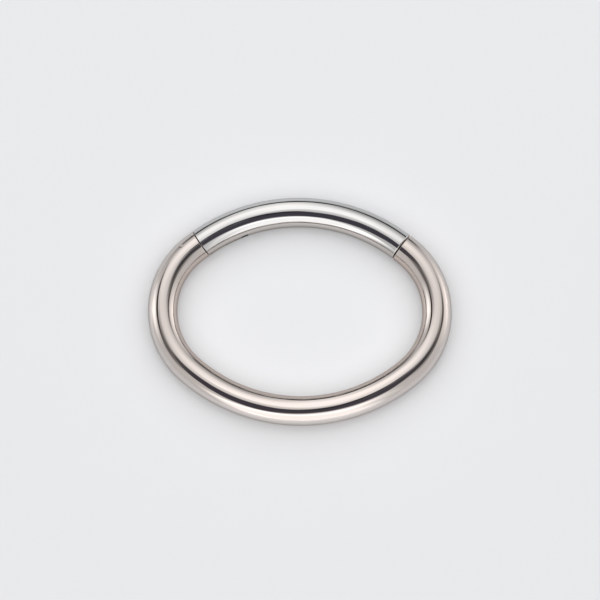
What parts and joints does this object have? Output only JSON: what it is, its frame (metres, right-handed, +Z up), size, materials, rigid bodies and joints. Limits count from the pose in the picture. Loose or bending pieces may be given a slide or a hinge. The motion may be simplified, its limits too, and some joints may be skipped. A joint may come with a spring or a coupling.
{
  "type": "hinged segment ring",
  "caption": "Oval body-jewellery ring of round polished wire, closed by a segment that hinges at one end and clasps over a flat tongue at the other.",
  "frame": {"origin": "middle of the oval, on the surface that the ring lies on", "axes": "+X along the long way of the oval, towards the hinge; +Y towards the segment; +Z up, square to the ring's plane"},
  "size_m": [0.0124, 0.0094, 0.0012],
  "materials": {
    "ring_steel": "mirror-polished stainless steel, faintly warm",
    "segment_steel": "mirror-polished stainless steel, a little whiter",
    "pin_steel": "polished stainless steel, filed flush"
  },
  "bodies": {
    "ring": {"ring_body": "ring_steel"},
    "segment": {"segment": "segment_steel", "hinge_pin": "pin_steel"}
  },
  "joints": [
    {"name": "segment_hinge", "type": "hinge", "parent": "ring", "child": "segment", "pos_m": [0.00368, 0.00345, 0.0006], "axis": [0, 0, -1], "range_deg": [0, 85]}
  ]
}
